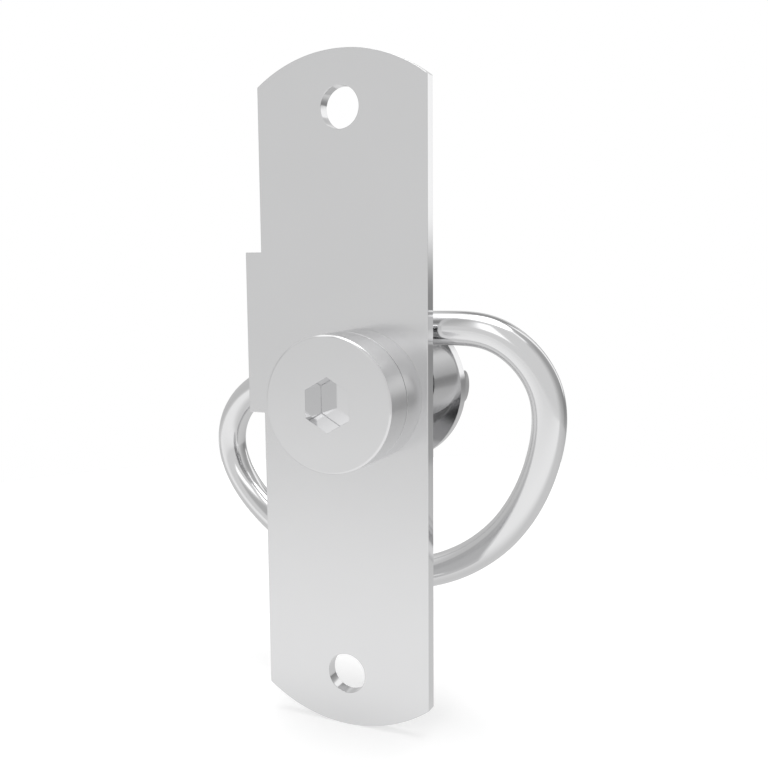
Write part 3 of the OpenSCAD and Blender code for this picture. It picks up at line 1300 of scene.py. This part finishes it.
@dataclass
class Studio:
    """Plain pale floor, soft white studio and the photograph's camera.

    Attributes:
        wall: Brightness of the walls.
        ground: Brightness of the ground far below the horizon.
        ground_slope: How that changes along each axis.
        ground_edge: Elevations in degrees where walls end and ground begins.
        panels: Lamps and darker walls, later ones over earlier ones.
        floor_radius: Radius of the floor.
        floor_color: Its reflectance.
        floor_glow: Light that it adds where the camera sees it.
        painted_mirror_tones: Glow of the floor where metal mirrors it, a painted reflection: a
            painted shadow behind the plate and painted light before it.
        painted_shadow_step: How far from the plate that painted shadow and light are reached.
        painted_mirror_fade: How much the painted glow darkens towards the floor's rim.
        painted_fade_reach: Where that painted darkening begins and ends.
        lamp_strength: Light of the overhead lamp.
        lamp_spread: Its width in degrees.
        lamp_tilt: Its turn from straight down, in degrees.
        camera_place: Where the camera stands.
        camera_turn: Its turn about Z from +Y, in radians.
        camera_pitch: Its look downwards, in radians.
        camera_roll: Its roll, in radians.
        lens: Its focal length in millimetres.
        sensor: Width of its sensor in millimetres.
    """

    wall: float = 0.75
    ground: float = 0.86
    ground_slope: Point = (-0.075, -0.106, 0.0)
    ground_edge: Pair = (-4.0, -20.0)
    panels: tuple[Panel, ...] = (
        Panel(-110, 6, 42, 16, 14, 0.6),
        Panel(125, 22, 30, 38, 46, 0.4),
        Panel(157, -2, 31, 12, 20, 0.3),
        Panel(-172, 3, 22, 9, 8, 0.5),
        Panel(122, 55, 38, 9, 12, 0.5),
        Panel(-177, 45, 25, 15, 10, 0.34),
        Panel(-38, 41, 25, 24, 12, 0.5),
        Panel(-100, 66, 38, 14, 10, 1.25),
        Panel(0, 83, 180, 15, 5, 1.25),
        Panel(3, 37, 9, 19, 6, 1.4),
        Panel(158, 26, 8, 26, 5, 1.12),
        Panel(92, 61, 10, 9, 6, 1.15),
    )
    floor_radius: float = 0.30
    floor_color: float = 0.8
    floor_glow: float = 0.38
    # Painted reflection: metal sees the floor glow, with painted shadow behind the plate and
    # painted light before it.
    painted_mirror_tones: Pair = (0.69, 0.985)
    painted_shadow_step: float = 25 * MM
    painted_mirror_fade: float = 0.17
    painted_fade_reach: Pair = (50 * MM, 300 * MM)
    lamp_strength: float = 0.6
    lamp_spread: float = 42.0
    lamp_tilt: Point = (-4.0, 3.0, 0.0)
    camera_place: Point = (98.79 * MM, -191.88 * MM, 31.74 * MM)
    camera_turn: float = 0.434
    camera_pitch: float = 0.130
    camera_roll: float = -0.008
    lens: float = 46.93
    sensor: float = 36.0

    def panel_mask(
        self, bench: NodeBench, panel: Panel, direction: Socket, height: Socket
    ) -> Socket:
        """Gives 1 inside a panel and 0 outside it, with a soft edge.

        Args:
            bench: The world's node tree.
            panel: The panel.
            direction: The direction looked at.
            height: That direction's elevation in radians.

        Returns:
            The mask.
        """
        turn = math.radians(panel.azimuth)
        ahead = (math.sin(turn), -math.cos(turn), 0)
        aside = (math.cos(turn), math.sin(turn), 0)
        sideways = bench.math("ARCTAN2", bench.dot(direction, aside), bench.dot(direction, ahead))
        upwards = bench.math("SUBTRACT", height, math.radians(panel.elevation))
        soft = math.radians(panel.softness / 2)
        masks = []
        for offset, half in ((sideways, panel.half_width), (upwards, panel.half_height)):
            edge = (math.radians(half) - soft, math.radians(half) + soft)
            masks.append(bench.rescale(bench.math("ABSOLUTE", offset), edge, (1, 0), smooth=True))
        return bench.math("MULTIPLY", masks[0], masks[1])

    def build_world(self) -> None:
        """Lights the studio with soft panels, white where the camera sees it."""
        world = bpy.data.worlds.new("studio")
        bpy.context.scene.world = world
        world.use_nodes = True
        bench = NodeBench(world.node_tree)
        direction = bench.node("TexCoord").outputs["Generated"]
        upward = bench.node("SeparateXYZ", {0: direction}).outputs[2]
        height = bench.math("ARCSINE", upward)
        below = bench.math("ADD", bench.dot(direction, self.ground_slope), self.ground)
        edge = tuple(math.radians(elevation) for elevation in self.ground_edge)
        is_ground = bench.rescale(height, edge, (0, 1), smooth=True)
        color = bench.mix_color(is_ground, grey(self.wall), below)
        for panel in self.panels:
            mask = self.panel_mask(bench, panel, direction, height)
            color = bench.mix_color(mask, color, grey(panel.tone))
        seen = bench.node("LightPath").outputs["Is Camera Ray"]
        color = bench.mix_color(seen, color, grey(1))
        light = bench.node("Background", {"Color": color})
        bench.node("OutputWorld", {"Surface": light.outputs[0]})

    def build_floor(self) -> None:
        """Lays a round pale floor under the plate's lower end."""
        deselect_all()
        bpy.ops.mesh.primitive_circle_add(
            vertices=FLOOR_SIDES,
            radius=self.floor_radius,
            fill_type="NGON",
            location=(0, 0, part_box("plate")[0].z),
        )
        floor = bpy.context.object
        floor.name = "studio_floor"
        paint, bench = new_material("studio_floor")
        # Metal sees the floor as an emission, a painted reflection: painted shadow behind the
        # plate, painted light before it and painted darkening towards the rim. The camera sees the
        # lit floor.
        path = bench.node("LightPath").outputs
        mirrored = bench.math("MAXIMUM", path["Is Glossy Ray"], path["Is Transmission Ray"])
        glow = bench.math("MULTIPLY", path["Is Camera Ray"], self.floor_glow)
        ahead = bench.dot(bench.place(), (0, -1, 0))
        step = (-self.painted_shadow_step, self.painted_shadow_step)
        painted_shadow_and_light = bench.rescale(ahead, step, self.painted_mirror_tones, smooth=True)
        away = bench.math("ABSOLUTE", ahead)
        painted_darkening = bench.rescale(away, self.painted_fade_reach, (0, self.painted_mirror_fade))
        matte = bench.node("BsdfDiffuse", {"Color": grey(self.floor_color)})
        lit = bench.node("Emission", {"Strength": glow})
        both = bench.node("AddShader", {0: matte.outputs[0], 1: lit.outputs[0]})
        tone = bench.math("SUBTRACT", painted_shadow_and_light, painted_darkening)
        painted_reflection = bench.node("Emission", {"Strength": tone})
        shown = bench.node("MixShader", {0: mirrored, 1: both.outputs[0], 2: painted_reflection.outputs[0]})
        bench.surface(shown)
        floor.data.materials.append(paint)

    def build_lamp(self) -> None:
        """Hangs the overhead lamp that draws the contact shadow."""
        deselect_all()
        bpy.ops.object.light_add(type="SUN", location=(0, 0, 2 * self.floor_radius))
        lamp = bpy.context.object
        lamp.name = "overhead_lamp"
        lamp.rotation_euler = [math.radians(turn) for turn in self.lamp_tilt]
        lamp.data.energy = self.lamp_strength
        lamp.data.angle = math.radians(self.lamp_spread)

    def build_camera(self) -> None:
        """Sets the camera at the photograph's place, angle and lens."""
        camera = bpy.data.objects.new("camera", bpy.data.cameras.new("camera"))
        bpy.context.scene.collection.objects.link(camera)
        camera.data.sensor_width = self.sensor
        camera.data.lens = self.lens
        camera.data.clip_start = 10 * MM
        turned = Matrix.Rotation(self.camera_turn, 4, "Z")
        tilted = Matrix.Rotation(math.radians(90) - self.camera_pitch, 4, "X")
        rolled = Matrix.Rotation(self.camera_roll, 4, "Z")
        camera.matrix_world = Matrix.Translation(self.camera_place) @ turned @ tilted @ rolled
        bpy.context.scene.camera = camera

    def build(self) -> None:
        """Builds the floor, the world, the lamp and the camera."""
        self.build_floor()
        self.build_world()
        self.build_lamp()
        self.build_camera()
        bpy.context.scene.view_settings.view_transform = "Standard"


def steel_finishes(axis: Point) -> dict[str, SteelFinish]:
    """Lists the latch's steel surfaces.

    Args:
        axis: A point on the spindle.

    Returns:
        Each finish under its own name.
    """
    steel = (0.77, 0.77, 0.775)
    finishes = [
        SteelFinish(
            "rolled_satin", "satin_plate", Working.ROLLED, axis, steel,
            roughness=0.24, roughness_spread=0.015, mark_scale=2500, mark_depth=5e-8, stretch=0.85,
        ),
        SteelFinish(
            "machined_edge", "satin_plate", Working.DRAWN, axis, steel,
            roughness=0.09, roughness_spread=0.015, mark_scale=2500, mark_depth=8e-8,
        ),
        SteelFinish(
            "turned_satin", "satin_turned", Working.TURNED, axis, steel,
            roughness=0.36, roughness_spread=0.02, mark_scale=6000, mark_depth=1.5e-8,
            bright_radius=14.19 * MM, stretch=0.5,
        ),
        SteelFinish(
            "broached_socket", "satin_turned", Working.DRAWN, axis, steel,
            roughness=0.07, roughness_spread=0.01, mark_scale=2500, mark_depth=2e-8,
        ),
        SteelFinish(
            "plain_turned", "plain_steel", Working.TURNED, axis, (0.72, 0.72, 0.72),
            roughness=0.3, roughness_spread=0.05, mark_scale=6000, mark_depth=4e-6,
        ),
        # Painted shade: the hub's steel is darker than the flange's same steel, for the shade it
        # sits in behind the plate.
        SteelFinish(
            "turned_hub_painted_shade", "polished_steel", Working.TURNED, axis, (0.64, 0.64, 0.645),
            roughness=0.24, roughness_spread=0.03, mark_scale=5000, mark_depth=2e-7, stretch=0.85,
        ),
        SteelFinish(
            "polished_flange", "polished_steel", Working.TURNED, axis, steel,
            roughness=0.11, roughness_spread=0.015, mark_scale=3000, mark_depth=2e-7,
        ),
        SteelFinish(
            "mirror_rod", "polished_rod", Working.DRAWN, axis, (0.79, 0.79, 0.795),
            roughness=0.12, roughness_spread=0.012, mark_scale=3000, mark_depth=5e-8,
        ),
        SteelFinish(
            "brushed_weld", "weld_bead", Working.WELDED, axis, (0.62, 0.61, 0.6),
            roughness=0.36, roughness_spread=0.08, mark_scale=2500, mark_depth=2e-5, tint=0.35,
        ),
    ]
    return {finish.name: finish for finish in finishes}


def main() -> None:
    """Builds the studio and every sub-assembly in order."""
    logging.basicConfig(level=logging.INFO, format="%(name)s: %(message)s")
    Studio().build()
    low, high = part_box("spindle")
    spindle = Spindle((low.x + high.x) / 2, (low.z + high.z) / 2)
    steel = steel_finishes(spindle.at(0))
    lining = PlainFinish("bearing_grey", (0.5, 0.5, 0.5), metallic=1.0, roughness=0.32, grain=4000)
    glide = PlainFinish(
        "glide_polymer", (0.12, 0.12, 0.13), metallic=0.0, roughness=0.5, grain=5000
    )
    FixingPlate(spindle, steel["rolled_satin"], steel["machined_edge"]).build()
    Drum(spindle, steel["turned_satin"], steel["broached_socket"], lining, glide).build()
    bow = Bow(spindle, steel["mirror_rod"], steel["brushed_weld"])
    bow.build()
    carrier = Carrier(
        spindle, steel["plain_turned"], steel["turned_hub_painted_shade"], steel["polished_flange"], bow.radius
    )
    carrier.build(bow.front_leg_y, bow.back_leg_y)


if __name__ == "__main__":
    main()
